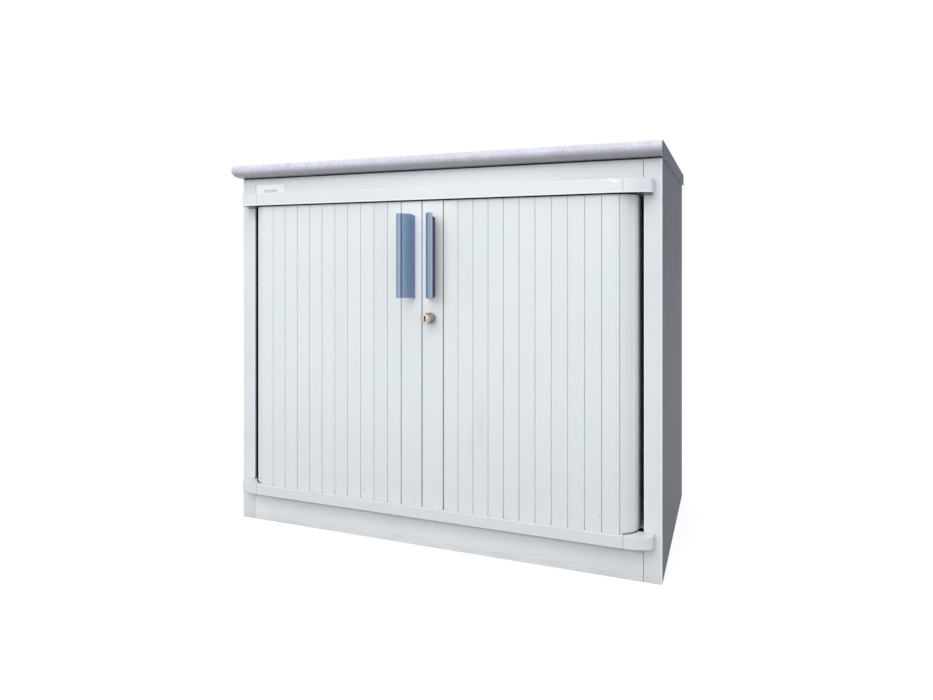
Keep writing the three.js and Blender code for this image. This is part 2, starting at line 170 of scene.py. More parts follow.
class Paint:
    # the nodes of one finish, in which each colour is laid over the ones before it
    def __init__(self, owner, look=None, shader="Principled BSDF"):
        owner.use_nodes = True
        self.look = look
        self.tree = owner.node_tree
        self.shader = self.tree.nodes[shader]
        self.spot = self.add("ShaderNodeTexCoord", output="Object")

    def add(self, kind, settings=None, inputs=None, output=0):
        node = self.tree.nodes.new(kind)
        for key, value in (settings or {}).items():
            setattr(node, key, value)
        for key, value in (inputs or {}).items():
            self.feed(node.inputs[key], value)
        return Wire(self, node.outputs[output])

    def feed(self, socket, value):
        if isinstance(value, Wire):
            self.tree.links.new(value.socket, socket)
        else:
            socket.default_value = value

    def set(self, values):
        for key, value in values.items():
            self.feed(self.shader.inputs[key], value)

    def axes(self, spot=None):
        split = self.add("ShaderNodeSeparateXYZ", {}, {0: spot or self.spot})
        return [split.other(number) for number in range(3)]

    def noise(self, scale, detail=2, rough=0.5, stretch=None, span=None):
        spot = self.spot
        if stretch:
            spot = self.add("ShaderNodeMapping", {}, {"Vector": spot, "Scale": stretch})
        values = {"Vector": spot, "Scale": scale, "Detail": detail, "Roughness": rough}
        made = self.add("ShaderNodeTexNoise", {}, values)
        return self.between(made, *span) if span else made

    def cells(self, scale, output="Distance"):
        values = {"Vector": self.spot, "Scale": scale}
        return self.add("ShaderNodeTexVoronoi", {}, values, output)

    def draw(self, number):
        # a random value of its own for each whole number
        return self.add("ShaderNodeTexWhiteNoise", {"noise_dimensions": "1D"}, {"W": number})

    def channel(self, colour, number=0):
        return self.add("ShaderNodeSeparateColor", {}, {0: colour}, number)

    def between(self, value, low, high):
        # 0 at low and 1 at high, eased at both ends
        settings = {"interpolation_type": "SMOOTHSTEP", "clamp": True}
        return self.add("ShaderNodeMapRange", settings, {0: value, 1: low, 2: high})

    def rise(self, value, low, high):
        # the same along a length, with its ends in millimetres
        return self.between(value, low * mm, high * mm)

    def fall(self, value, low, high):
        return 1 - self.rise(value, low, high)

    def within(self, value, low, high):
        # 1 between two places in millimetres, and 0 elsewhere
        return (value > low * mm) * (value < high * mm)

    def mixed(self, share, first, second):
        inputs = {0: share, 6: first, 7: second}
        return self.add("ShaderNodeMix", {"data_type": "RGBA"}, inputs, 2)

    def base(self, first, second, share):
        self.tone = self.mixed(share, self.look[first], self.look[second])

    def cover(self, colour, share):
        self.tone = self.mixed(share, self.tone, self.look[colour])

    def layer(self, colour, mask):
        # a colour as strong as its own share, and eased over its own span if it has one
        if f"{colour}Span" in self.look:
            mask = self.between(mask, *self.look[f"{colour}Span"])
        self.cover(colour, mask * self.look[f"{colour}Share"])

    def specks(self, scale, size, rarity):
        # small round marks, in a few of the cells only
        near = 1 - self.between(self.cells(scale), size * 0.5, size)
        return near * (self.channel(self.cells(scale, "Color")) > rarity)

    def smudge(self, x, z, mark):
        across = (x - mark["x"] * mm) / (mark["wide"] * mm)
        up = (z - mark["z"] * mm) / (mark["tall"] * mm)
        return (1 - (across * across + up * up) ** 0.5).atLeast(0) ** mark.get("fade", 0.5)

    def seen(self):
        # 1 for the camera's own look, and for what metal and glass pass on
        camera = self.add("ShaderNodeLightPath", output="Is Camera Ray")
        glossy, passed = camera.other("Is Glossy Ray"), camera.other("Is Transmission Ray")
        return camera.atLeast(glossy).atLeast(passed)

    def roughness(self, noise):
        return self.look["rough"] + (noise - 0.5) * self.look["roughSwing"]

    def finish(self, height, rough):
        # the covers give the colour, and height the fine bumps
        inputs = {"Height": height, "Distance": self.look["bumpDepth"] * mm, "Strength": 1.0}
        bump = self.add("ShaderNodeBump", {}, inputs)
        self.set({"Base Color": self.tone, "Roughness": rough, "Normal": bump})
        gloss, metal = self.look["gloss"], self.look.get("metal", 0.0)
        self.set({"Specular IOR Level": gloss, "Metallic": metal})


# In each look lengths are in millimetres, and shares and the spans of noises go from 0 to 1

# Light grey melamine boards: floor dust, painted edge highlights, dark joints and painted shadows
boardLook = {
    "cool": shade(215, 221, 226),
    "warm": shade(223, 227, 228),
    "cloud": dict(scale=5, detail=4, rough=0.6, span=(0.3, 0.7)),
    "grime": shade(150, 144, 136),
    "grimeNoise": dict(scale=3, detail=4, rough=0.65, stretch=(6, 60, 60), span=(0.35, 0.7)),
    "grimeHeight": (2, 22), "grimeShare": 0.2, "grimeRough": 0.3,
    "joint": shade(118, 116, 112), "jointAt": 385.9,
    "jointWidth": 1.9, "jointShares": (0.7, 0.3), "frontDepth": 20,
    "shadow": shade(112, 114, 117), "underLevel": 49.5, "underReach": 5, "paintedUnderShadeShare": 0.35,
    "overSpan": (679.5, 693.5), "overShare": 0.42, "endSpan": (150, 385), "endShares": (),
    # a painted highlight along the posts' edges
    "wearAndHighlight": shade(246, 249, 252), "wearAndHighlightSpan": (386, 415), "highlightWidth": 3, "wearAndHighlightShare": 0.9,
    # a painted shade line on the posts just under the top caps
    "cap": shade(56, 58, 60), "capShadeLine": (630.4, 632.4), "capShadeReach": 399.5, "capShare": 0.75,
    "holeShade": shade(52, 48, 44), "holeStep": 32, "holeSpan": (109.2, 621.2), "holeDepths": (),
    "holeFaces": (351.5, 352.5), "holeRadii": (2.1, 2.7),
    "fleck": shade(128, 122, 116),
    "flecks": dict(scale=24, size=0.03, rarity=0.8), "fleckShare": 0.55,
    "grain": dict(scale=900, detail=3, rough=0.6),
    "rough": 0.46, "roughSwing": 0.1, "gloss": 0.4, "cloudBump": 0.4, "bumpDepth": 0.03,
}
linerLook = dict(boardLook, holeDepths=(68, 389.7))
frontLook = dict(
    boardLook, cool=shade(223, 229, 233), warm=shade(232, 235, 236), endShares=(0.07, 0.1)
)
# the plinth's board is painted lighter than the fascia's, painted light against the shade under
# the rail
litPlinthLook = dict(
    boardLook, cool=shade(232, 237, 241), warm=shade(240, 243, 244), endShares=(0, 0.13)
)


def pinHoles(paint, look, x, y, z, depth):
    # a row of shelf-pin holes up the inner face of a liner, painted as dark discs of painted shade
    low, high = look["holeSpan"]
    inner, outer = look["holeFaces"]
    step = look["holeStep"] * mm
    up = (((z - low * mm) / step).fraction() - 0.5) * step
    across = y - (frontPlane + depth * mm)
    away = (up * up + across * across) ** 0.5
    inside = paint.within(z, low, high) * (abs(x) > inner * mm) * (abs(x) < outer * mm)
    return paint.fall(away, *look["holeRadii"]) * inside


def boardPaint(paint, look):
    x, y, z = paint.axes()
    reach = abs(x)
    cloud = paint.noise(**look["cloud"])
    paint.base("cool", "warm", cloud)
    low = paint.fall(z, *look["grimeHeight"])
    dirt = low * paint.noise(**look["grimeNoise"]) * look["grimeShare"]
    paint.cover("grime", dirt)

    # where a board stands between the posts it meets them in a dark joint
    front = y < frontPlane + look["frontDepth"] * mm
    jointAt = look["jointAt"] * mm
    joint = paint.fall(abs(reach - jointAt), 0, look["jointWidth"]) * (reach < jointAt)
    share, leftExtra = look["jointShares"]
    paint.cover("joint", joint * front * ((x < 0) * leftExtra + share))

    # shadows below the bottom rail, under the worktop and towards the ends
    below = look["underLevel"] * mm - z
    paintedUnderShade = paint.fall(below, 0, look["underReach"]) * (below > 0) * (reach < jointAt)
    paint.cover("shadow", paintedUnderShade * front * look["paintedUnderShadeShare"])
    paint.cover("shadow", paint.rise(z, *look["overSpan"]) * front * look["overShare"])
    for share, way in zip(look["endShares"], (-1, 1)):
        paint.cover("shadow", paint.rise(x * way, *look["endSpan"]) * share)

    # the posts' edges get a painted highlight, and a painted shade line shows under the top caps
    inner, outer = [value * mm for value in look["wearAndHighlightSpan"]]
    paintedLightRim = (reach - inner).atMost(outer - reach)
    wearAndHighlight = paint.fall(paintedLightRim, 0, look["highlightWidth"]) * (paintedLightRim > 0) * look["wearAndHighlightShare"]
    paint.cover("wearAndHighlight", wearAndHighlight * front)
    line = paint.within(z, *look["capShadeLine"]) * (reach > jointAt) * (reach < look["capShadeReach"] * mm)
    paint.layer("cap", line * front)

    # painted shade where the shelf-pin holes would be
    for depth in look["holeDepths"]:
        paint.cover("holeShade", pinHoles(paint, look, x, y, z, depth))
    paint.layer("fleck", paint.specks(**look["flecks"]))
    grain = paint.noise(**look["grain"])
    rough = paint.roughness(grain) + dirt * look["grimeRough"]
    paint.finish(grain + cloud * look["cloudBump"], rough)


# Extruded plastic slats: faint lines along them, soil in the joints, each slat a shade apart
slatLook = {
    "cool": shade(221, 227, 231),
    "warm": shade(225, 230, 231),
    "minty": shade(221, 229, 229),
    "cloud": dict(scale=6, detail=4, rough=0.6), "mintySpan": (0.42, 0.75), "mintyShare": 0.7,
    "line": shade(206, 212, 216),
    "lines": dict(scale=420, detail=3, rough=0.7, stretch=(1, 1, 0.004)),
    "lineSpan": (0.45, 0.8), "lineShare": 0.25,
    "paintedLightRim": shade(250, 252, 252), "paintedLightRimSpan": (0.7, 0.97), "paintedLightRimShare": 0.85,
    "low": shade(211, 216, 219), "paintedShadeHeights": (80, 340), "lowShare": 0.5,
    "wearAndPaintedLight": shade(250, 252, 252), "paintedLightAcross": (34, 80), "paintedLightUp": (420, 480),
    "wearAndPaintedLightShare": 0.6,
    "joint": shade(120, 122, 124), "jointSpan": (0.2, 1.3), "jointShares": (0.12, 0.34),
    "jointFrom": 30, "lastJoint": 11.5, "lastShare": 0.5,
    "footHeights": (83, 100), "footShare": 0.3,
    "patch": dict(scale=5, detail=4, rough=0.7, stretch=(30, 1, 1), span=(0.25, 0.7)),
    "patchShare": 0.5,
    "seam": shade(66, 68, 70), "seamSpan": (0.2, 1.7), "seamShares": (0.36, 1.0),
    "seamMiddle": 0.72, "seamPatch": 0.3, "seamBack": -23,
    "smear": shade(196, 201, 204), "smearShare": 0.7,
    "scuff": shade(140, 138, 136),
    "scuffNoise": dict(scale=300, span=(0.4, 0.55)), "scuffShare": 0.7,
    "flecks": dict(scale=30, size=0.028, rarity=0.85), "fleckShare": 0.5,
    "rough": 0.42, "roughSwing": 0.12, "soilRough": 0.3, "gloss": 0.45, "cloudBump": 0.3,
    "bumpDepth": 0.03, "firstJoint": 41.8, "pitch": 28, "turn": 338, "turnRadius": 40,
    "runRadius": 36, "rightDraws": 31, "jointDraws": 7,
}
slatScuffs = [
    dict(x=-293, z=311.5, wide=12, tall=0.7),
    dict(x=-312, z=313.2, wide=2.2, tall=1.1),
    dict(x=317.6, z=108.5, wide=2.6, tall=0.8),
    dict(x=333, z=108, wide=4.2, tall=0.9),
    dict(x=345, z=174, wide=3.2, tall=0.8),
    dict(x=-45.8, z=480, wide=0.9, tall=1.8),
    dict(x=-118, z=98, wide=1.2, tall=5),
    dict(x=226, z=141, wide=2.6, tall=0.8),
    dict(x=-255, z=205, wide=0.8, tall=3),
]
slatSmears = [
    dict(x=112, z=240, wide=12, tall=70, fade=1.2),
    dict(x=96, z=205, wide=9, tall=46, fade=1.2),
]


def slatPaint(paint, look):
    x, y, z = paint.axes()
    reach = abs(x)

    # run is how far along the curtain a point lies, round the corner too
    turn = look["turn"] * mm
    bent = ((reach - turn) / (look["turnRadius"] * mm)).atLeast(0).atMost(1)
    run = reach.atMost(turn) + bent.arcsine() * (look["runRadius"] * mm)
    along = (run - look["firstJoint"] * mm) / (look["pitch"] * mm)
    side = (x > 0) * look["rightDraws"]

    lines = paint.noise(**look["lines"])
    cloud = paint.noise(**look["cloud"])
    paint.base("cool", "warm", paint.draw(along.floor() + side))
    paint.layer("minty", cloud)
    paint.layer("line", lines)
    # painted light on the slats round the corners, where they turn away
    paint.layer("paintedLightRim", bent)
    # painted shade: the slats darker towards the bottom
    paint.layer("low", paint.fall(z, *look["paintedShadeHeights"]))
    # painted light on the slats round the pulls, against the pulls' shadow
    wearAndPaintedLight = paint.rise(z, *look["paintedLightUp"]) * paint.fall(reach, *look["paintedLightAcross"])
    paint.layer("wearAndPaintedLight", wearAndPaintedLight)

    # soil in the joints: each has its own strength, and the last ones are never clean
    part = along.fraction()
    apart = part.atMost(1 - part) * look["pitch"]  # in millimetres
    joint = 1 - paint.between(apart, *look["jointSpan"])
    patchy = paint.noise(**look["patch"])
    index = (along + 0.5).floor()
    beyond = run > look["jointFrom"] * mm
    least, most = look["jointShares"]
    own = paint.draw(index + side + look["jointDraws"]) * (most - least) + least
    share = own.atLeast((index > look["lastJoint"]) * look["lastShare"])
    foot = joint * paint.fall(z, *look["footHeights"]) * look["footShare"]
    soil = joint * beyond * patchy.partly(look["patchShare"]) * share + foot
    paint.cover("joint", soil.atMost(1))

    # the dark seams between the two doors and beside their lead stiles
    left, right = look["seamShares"]
    middle = paint.fall(reach, *look["seamSpan"]) * look["seamMiddle"]
    first = index < 0.5  # the joint beside a lead stile
    line = (1 - paint.between(apart, *look["seamSpan"])) * beyond * first
    seam = line * ((x > 0) * (right - left) + left) + middle
    front = y < frontPlane + look["seamBack"] * mm
    paint.cover("seam", seam * front * patchy.partly(look["seamPatch"]))

    for mark in slatSmears:
        paint.layer("smear", paint.smudge(x, z, mark) * patchy)
    broken = paint.noise(**look["scuffNoise"])
    for mark in slatScuffs:
        paint.layer("scuff", paint.smudge(x, z, mark) * broken)
    paint.cover("scuff", paint.specks(**look["flecks"]) * look["fleckShare"])
    rough = paint.roughness(lines) + soil * look["soilRough"]
    paint.finish(lines + cloud * look["cloudBump"], rough)


# Extruded rails and their moulded caps: painted highlight and painted shade, a few chips
railLook = {
    "cool": shade(219, 225, 229),
    "warm": shade(225, 230, 230),
    "cloud": dict(scale=7, detail=4, rough=0.6), "cloudSpan": (0.3, 0.7),
    "bottomRailShade": shade(213, 217, 219), "bottomRailShadeTop": 120, "bottomRailShadeShare": 0.8,
    "line": shade(208, 213, 216),
    "lines": dict(scale=420, detail=3, rough=0.7, stretch=(0.004, 1, 1)),
    "lineSpan": (0.5, 0.85), "lineShare": 0.2,
    "chipAndHighlight": shade(247, 249, 249), "highlightEdge": (633.5, 635.4), "chipAndHighlightShare": 0.7,
    "shadowed": shade(44, 46, 48), "underside": (631.5, 633.2), "shadowedShare": 0.88,
    "foot": shade(118, 122, 124), "footShadeTop": 62.7, "footShare": 0.75,
    "scuff": shade(146, 140, 134),
    "scuffNoise": dict(scale=240, detail=3, span=(0.35, 0.6)), "scuffShare": 0.8,
    "flecks": dict(scale=34, size=0.03, rarity=0.86), "fleckShare": 0.5,
    "rough": 0.38, "roughSwing": 0.12, "gloss": 0.45, "bumpDepth": 0.02,
}
railScuffs = [
    dict(x=291, z=75.5, wide=1.4, tall=1.2),
    dict(x=278, z=653, wide=1.2, tall=0.9),
    dict(x=-220, z=80, wide=2.6, tall=0.8),
    dict(x=30, z=64, wide=3.4, tall=0.7),
    dict(x=-95, z=81, wide=3, tall=0.7),
]
railChips = [
    dict(x=345, z=652, wide=7, tall=4),
    dict(x=336, z=655, wide=9, tall=2),
    dict(x=205, z=81, wide=8, tall=1),
]


def railPaint(paint, look):
    x, y, z = paint.axes()
    lines = paint.noise(**look["lines"])
    cloud = paint.noise(**look["cloud"])
    broken = paint.noise(**look["scuffNoise"])
    paint.base("cool", "warm", paint.between(cloud, *look["cloudSpan"]))
    # painted shade: the bottom rail and its caps darker than the top ones
    paint.layer("bottomRailShade", z < look["bottomRailShadeTop"] * mm)
    paint.layer("line", lines)
    # a painted highlight along the lower edge of the top rail, in the chips' colour
    paint.layer("chipAndHighlight", paint.within(z, *look["highlightEdge"]))
    paint.layer("shadowed", paint.within(z, *look["underside"]))
    # painted shade on the rounded foot of the bottom rail
    paint.layer("foot", z < look["footShadeTop"] * mm)
    for mark in railScuffs:
        paint.layer("scuff", paint.smudge(x, z, mark) * broken)
    for mark in railChips:
        paint.cover("chipAndHighlight", paint.smudge(x, z, mark) * broken)
    paint.cover("scuff", paint.specks(**look["flecks"]) * look["fleckShare"])
    paint.finish(lines, paint.roughness(cloud))


# Dark laminate outside the cabinet, with a painted reflection: cool and streaky above, warmer
# below
sideLook = {
    "high": shade(75, 82, 98),
    "low": shade(88, 90, 96), "paintedReflectionSpan": (260, 760),
    "wander": dict(scale=3, detail=3), "wanderReach": 250,
    "reflectionAndFibre": shade(99, 105, 120),
    "reflectionBands": dict(scale=2.6, detail=4, rough=0.6, stretch=(1, 5, 1.1)),
    "reflectionAndFibreSpan": (0.48, 0.72), "reflectionAndFibreShare": 0.5,
    "deep": shade(56, 60, 72), "deepSpan": (0.5, 0.75), "deepShare": 0.55,
    "fibre": dict(scale=260, detail=3, rough=0.7, stretch=(1, 1, 0.02), span=(0.5, 0.8)),
    "fibreShare": 0.18,
    "peel": dict(scale=260),
    "rough": 0.4, "roughSwing": 0.2, "gloss": 0.02, "bumpDepth": 0.04,
}


def sidePaint(paint, look):
    x, y, z = paint.axes()
    height = z + paint.noise(**look["wander"]) * (look["wanderReach"] * mm)
    reflectionBands = paint.noise(**look["reflectionBands"])
    # painted reflection: cool above, warmer below, with light and dark streaky bands over it
    paint.base("low", "high", paint.rise(height, *look["paintedReflectionSpan"]))
    paint.layer("reflectionAndFibre", reflectionBands)
    paint.layer("deep", 1 - reflectionBands)
    paint.cover("reflectionAndFibre", paint.noise(**look["fibre"]) * look["fibreShare"])
    paint.finish(paint.noise(**look["peel"]), paint.roughness(reflectionBands))


# Speckled laminate of the worktop, with painted shade under its round nose
worktopLook = {
    "dark": shade(196, 197, 208),
    "light": shade(209, 210, 223),
    "cloud": dict(scale=34, detail=4, rough=0.7), "cloudSpan": (0.35, 0.68),
    "darkFleck": shade(158, 159, 170),
    "paleFleck": shade(232, 233, 242), "fleckShare": 0.4,
    "flecks": (
        {"scale": 560, "channel": 0, "dark": 0.84, "pale": 0.16},
        {"scale": 1300, "channel": 1, "dark": 0.8, "pale": 0.18},
    ),
    "paintedUnderShade": shade(143, 141, 142), "paintedUnderShadeHeights": (692, 704.5),
    "paintedUnderShadeDepths": (-4, 4), "paintedUnderShadeShare": 0.72,
    "grain": dict(scale=1200),
    "rough": 0.4, "roughSwing": 0.15, "gloss": 0.45, "bumpDepth": 0.03,
}


def worktopPaint(paint, look):
    x, y, z = paint.axes()
    cloud = paint.noise(**look["cloud"])
    paint.base("dark", "light", paint.between(cloud, *look["cloudSpan"]))
    for fleck in look["flecks"]:
        chips = paint.channel(paint.cells(fleck["scale"], "Color"), fleck["channel"])
        paint.cover("darkFleck", (chips > fleck["dark"]) * look["fleckShare"])
        paint.cover("paleFleck", (chips < fleck["pale"]) * look["fleckShare"])
    near, far = [frontPlane + depth * mm for depth in look["paintedUnderShadeDepths"]]
    front = 1 - paint.between(y, near, far)
    # painted shade on the lower part of the nose, at the front
    paint.layer("paintedUnderShade", paint.fall(z, *look["paintedUnderShadeHeights"]) * front)
    paint.finish(paint.noise(**look["grain"]), paint.roughness(cloud))


# Blue-grey moulded plastic of the pulls, with a painted highlight down each lip
handleLook = {
    "main": shade(120, 138, 184),
    "pale": shade(140, 166, 189), "front": 60, "paintedLightSpan": (3, 30), "paintedLightShare": 0.7,
    "cloud": dict(scale=26, detail=4, rough=0.6), "cloudShare": 0.4,
    "wearAndHighlight": shade(150, 166, 194),
    "wearAndPaintedLight": dict(scale=240, detail=3, rough=0.7, stretch=(1, 1, 0.05)),
    "wearAndHighlightSpan": (0.55, 0.8), "wearAndHighlightShare": 0.3,
    "lip": shade(124, 139, 160), "lipEdge": 1, "lipDepth": 4.6, "lipShare": 0.7,
    "paintedHighlight": shade(174, 190, 216), "paintedHighlightDepth": 4.4, "paintedHighlightShare": 0.8,
    "paintedHighlights": ({"x": -28.3, "half": 1.8}, {"x": 33.9, "half": 1.5}),
    "inside": shade(46, 57, 84), "insideFrom": 4.4, "insideShare": 0.9, "hollowAt": 19.2,
    "hollowLean": 6, "hollowSpan": (4, 16),
    "groove": shade(52, 64, 98), "grooveAcross": (23.4, 25.3), "grooveDepth": 4,
    "grooveShare": 0.75,
    "grain": dict(scale=1500),
    "rough": 0.34, "roughSwing": 0.2, "gloss": 0.5, "bumpDepth": 0.02,
}


def handlePaint(paint, look):
    x, y, z = paint.axes()
    reach = abs(x)
    depth = y - (frontPlane - look["front"] * mm)  # counted from the front of the lips
    wearAndPaintedLight = paint.noise(**look["wearAndPaintedLight"])
    cloud = paint.noise(**look["cloud"])
    # painted light: the face paler towards the front of the lips, over a cloudy tone
    turned = paint.fall(depth, *look["paintedLightSpan"]) * look["paintedLightShare"] + cloud * look["cloudShare"]
    paint.base("main", "pale", turned.atMost(1))
    paint.layer("wearAndHighlight", wearAndPaintedLight)
    start, end = look["grooveAcross"]
    lip = paint.rise(reach, end, end + look["lipEdge"]) * (depth < look["lipDepth"] * mm)
    paint.layer("lip", lip)
    # a painted highlight down each lip
    for paintedHighlight in look["paintedHighlights"]:
        bright = paint.fall(abs(x - paintedHighlight["x"] * mm), 0, paintedHighlight["half"])
        bright = bright * (depth < look["paintedHighlightDepth"] * mm)
        paint.layer("paintedHighlight", bright)
    # painted shade in the finger recess behind the lip
    lean = paint.fall(depth, *look["hollowSpan"]) * look["hollowLean"] * mm
    recessShade = (reach > lean + look["hollowAt"] * mm) * (depth > look["insideFrom"] * mm)
    paint.layer("inside", recessShade)
    # painted shade in the groove at the step of the lip
    groove = paint.within(reach, start, end) * (depth < look["grooveDepth"] * mm)
    paint.layer("groove", groove)
    paint.finish(paint.noise(**look["grain"]), paint.roughness(wearAndPaintedLight))


# Metals: the tarnished nickel of the lock and the zinc of hook, keeper and shelf pins
nickelLook = {
    "bright": shade(206, 197, 188),
    "tarnish": shade(142, 118, 102),
    "stain": dict(scale=160, detail=4, rough=0.65, span=(0.42, 0.7)), "stainShare": 0.6,
    "stainRough": 0.18,
    "scratch": dict(scale=2600, stretch=(1, 0.1, 1)),
    "rough": 0.27, "roughSwing": 0.12, "gloss": 0.5, "metal": 1.0, "bumpDepth": 0.03,
}
# the collar's nickel painted darker than the barrel's: painted shade
shadedCollarLook = dict(
    nickelLook, bright=shade(168, 158, 148), tarnish=shade(112, 92, 78), stainShare=0.8
)
zincLook = dict(
    nickelLook, bright=shade(186, 189, 191), tarnish=shade(140, 143, 146), stainShare=0.5,
    stain=dict(nickelLook["stain"], scale=420), rough=0.4, bumpDepth=0.02,
)


def metalPaint(paint, look):
    stain = paint.noise(**look["stain"])
    scratch = paint.noise(**look["scratch"])
    paint.base("bright", "tarnish", stain * look["stainShare"])
    rough = look["rough"] + stain * look["stainRough"]
    paint.finish(scratch, rough + (scratch - 0.5) * look["roughSwing"])


# Bare label: white film with one blank grey panel on it
labelLook = {
    "film": shade(244, 247, 249),
    "aged": shade(234, 238, 240),
    "cloud": dict(scale=90, detail=3),
    "panel": shade(186, 192, 195), "panelAcross": (-363, -331), "panelUp": (661.5, 667.5),
    "wearAndHighlight": dict(scale=900, detail=3, rough=0.7), "wearAndHighlightSpan": (0.3, 0.6),
    "rough": 0.3, "wornRough": 0.15, "gloss": 0.5, "bumpDepth": 0.01,
}


def labelPaint(paint, look):
    x, y, z = paint.axes()
    low, high = look["panelUp"]
    inside = paint.within(x, *look["panelAcross"]) * (z > low * mm) * (z < high * mm)
    wearAndHighlight = paint.noise(**look["wearAndHighlight"])
    paint.base("film", "aged", paint.noise(**look["cloud"]))
    paint.cover("panel", inside * paint.between(wearAndHighlight, *look["wearAndHighlightSpan"]))
    paint.finish(wearAndHighlight, look["rough"] + wearAndHighlight * look["wornRough"])


# Near-black painted shade: strips under the top rail, in each slot and at each foot, and a keyway
# block
darkLook = {
    "deep": shade(14, 13, 12),
    "dusty": shade(38, 34, 31),
    "dust": dict(scale=1400, detail=3),
    "rough": 0.8, "gloss": 0.1, "bumpDepth": 0.03,
}


def darkPaint(paint, look):
    dust = paint.noise(**look["dust"])
    paint.base("deep", "dusty", dust)
    paint.finish(dust, look["rough"])


# Each finish: its name, the record's slot that it stands for, how it is made, and its look
finishes = {
    "board": ("light grey board", "light_grey_board", boardPaint, boardLook),
    "front": ("light grey front board", "light_grey_board", boardPaint, frontLook),
    "plinth": ("light grey plinth board", "light_grey_board", boardPaint, litPlinthLook),
    "liner": ("light grey drilled board", "light_grey_board", boardPaint, linerLook),
    "slat": ("light grey slat", "light_grey_slat", slatPaint, slatLook),
    "rail": ("light grey track", "light_grey_track", railPaint, railLook),
    "side": ("dark side board", "dark_side_board", sidePaint, sideLook),
    "worktop": ("speckled worktop", "speckled_worktop", worktopPaint, worktopLook),
    "handle": ("blue grey handle", "blue_grey_handle", handlePaint, handleLook),
    "nickel": ("tarnished nickel", "nickel_lock", metalPaint, nickelLook),
    "collar": ("tarnished collar", "nickel_lock", metalPaint, shadedCollarLook),
    "zinc": ("zinc plated steel", "zinc_steel", metalPaint, zincLook),
    "label": ("label film", None, labelPaint, labelLook),
    "paintedShade": ("keyway dark", "nickel_lock", darkPaint, darkLook),
}
paints, slotOf = {}, {}
for key, (name, slot, layOn, look) in finishes.items():
    paints[key] = bpy.data.materials.new(name)
    layOn(Paint(paints[key], look), look)
    if slot:
        slotOf[key] = slot
print("finishes mixed,", len(paints))


# Shapes are made in millimetres: x to the right, y back from the posts' face and z up
def slab(bm, low, high):
    made = bmesh.ops.create_cube(bm, size=1)["verts"]
    size = [b - a for a, b in zip(low, high)]
    middle = [(a + b) / 2 for a, b in zip(low, high)]
    bmesh.ops.scale(bm, vec=size, verts=made)
    bmesh.ops.translate(bm, vec=middle, verts=made)


def drawn(bm, corners, push):
    # a flat outline, pushed out into a bar
    face = bm.faces.new([bm.verts.new(corner) for corner in corners])
    made = bmesh.ops.extrude_face_region(bm, geom=[face])["geom"]
    moved = [item for item in made if isinstance(item, bmesh.types.BMVert)]
    bmesh.ops.translate(bm, vec=push, verts=moved)


def roundOff(bm, edges, offset, steps=2):
    bmesh.ops.bevel(
        bm, geom=edges, offset=offset, offset_type="OFFSET", segments=steps,
        profile=0.5, affect="EDGES", material=-1,
    )


def soften(bm, offset, steps=2, angle=40):
    bmesh.ops.recalc_face_normals(bm, faces=bm.faces)
    limit = math.radians(angle)
    sharp = [edge for edge in bm.edges if edge.is_manifold and edge.calc_face_angle(0) > limit]
    roundOff(bm, sharp, offset, steps)


cleaning = {"near": 0.01, "doubles": 0.001, "cadDoubles": 0.002, "flatAngle": 0.6}


def edgesAt(bm, **place):
    # the edges with both ends at the given x, y or z
    def off(vert):
        return max(abs(getattr(vert.co, axis) - at) for axis, at in place.items())

    return [edge for edge in bm.edges if max(map(off, edge.verts)) < cleaning["near"]]


def cadCopy(node):
    # the node's own shape in millimetres, its loose triangles merged into whole faces
    bm = bmesh.new()
    bm.from_mesh(frame["nodes"][node].data)
    bmesh.ops.translate(bm, vec=(0, -frontPlane, 0), verts=bm.verts)
    bmesh.ops.scale(bm, vec=(1 / mm,) * 3, verts=bm.verts)
    bmesh.ops.remove_doubles(bm, verts=bm.verts, dist=cleaning["cadDoubles"])
    flat = math.radians(cleaning["flatAngle"])
    bmesh.ops.dissolve_limit(bm, angle_limit=flat, verts=bm.verts, edges=bm.edges)
    return bm


def finishPiece(name, bm, paint, body, replaced=(), smooth=34):
    bmesh.ops.remove_doubles(bm, verts=bm.verts, dist=cleaning["doubles"])
    bmesh.ops.recalc_face_normals(bm, faces=bm.faces)
    loose = sum(not edge.is_manifold for edge in bm.edges)
    if loose:
        print("not closed:", name, loose)
    bmesh.ops.scale(bm, vec=(mm,) * 3, verts=bm.verts)
    bmesh.ops.translate(bm, vec=(0, frontPlane, 0), verts=bm.verts)
    for face in bm.faces:
        face.smooth = True
    mesh = bpy.data.meshes.new(name)
    bm.to_mesh(mesh)
    bm.free()
    mesh.set_sharp_from_angle(angle=math.radians(smooth))
    mesh.materials.append(paints[paint])
    piece = bpy.data.objects.new(name, mesh)
    scene.collection.objects.link(piece)
    even = piece.modifiers.new("evenNormals", "WEIGHTED_NORMAL")
    even.keep_sharp = True
    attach(piece, body)
    paint in slotOf
    if replaced:
        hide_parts(*replaced)
    return piece


def toSide(bm, side):
    # shapes are made for the right, and the left one is its twin
    bmesh.ops.scale(bm, vec=(side, 1, 1), verts=bm.verts)


sides = {"right": 1, "left": -1}

# Worktop with its full round nose, and the dark band on each end
worktop = {
    "halfLength": 418.5, "band": 0.8, "front": -31, "back": 458, "low": 692.5, "high": 715,
    "noseAt": 705, "noseAbove": 10, "noseBelow": 22, "noseSteps": 14, "edgeSoftening": 0.35,
}


